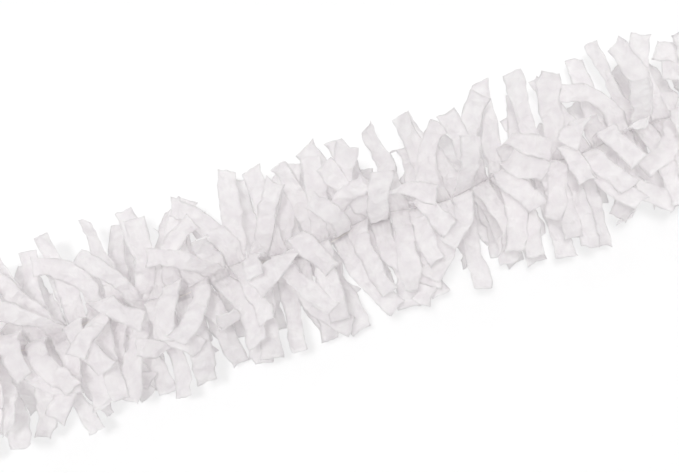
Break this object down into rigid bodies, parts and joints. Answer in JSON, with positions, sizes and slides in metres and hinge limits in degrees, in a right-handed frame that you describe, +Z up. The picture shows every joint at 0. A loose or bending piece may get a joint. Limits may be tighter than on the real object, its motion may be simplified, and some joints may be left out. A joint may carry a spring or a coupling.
{
  "type": "tissue paper festoon garland",
  "caption": "Fluffy white garland of tissue paper strips, fringed along both edges, sewn down the middle and fanned out all round, lying on a table.",
  "frame": {"origin": "middle of the garland's length and width, on the table it lies on", "axes": "+X along the seam from one end of the garland to the other, +Z up from the table, +Y across the garland"},
  "size_m": [0.4826, 0.1166, 0.0995],
  "materials": {
    "tissue_paper": "thin matt white tissue, translucent, softly crumpled",
    "cotton_thread": "matt white cotton sewing thread"
  },
  "bodies": {
    "root": {"tissue_ply_1": "tissue_paper", "tissue_ply_2": "tissue_paper", "tissue_ply_3": "tissue_paper", "gathering_thread": "cotton_thread"}
  },
  "joints": []
}
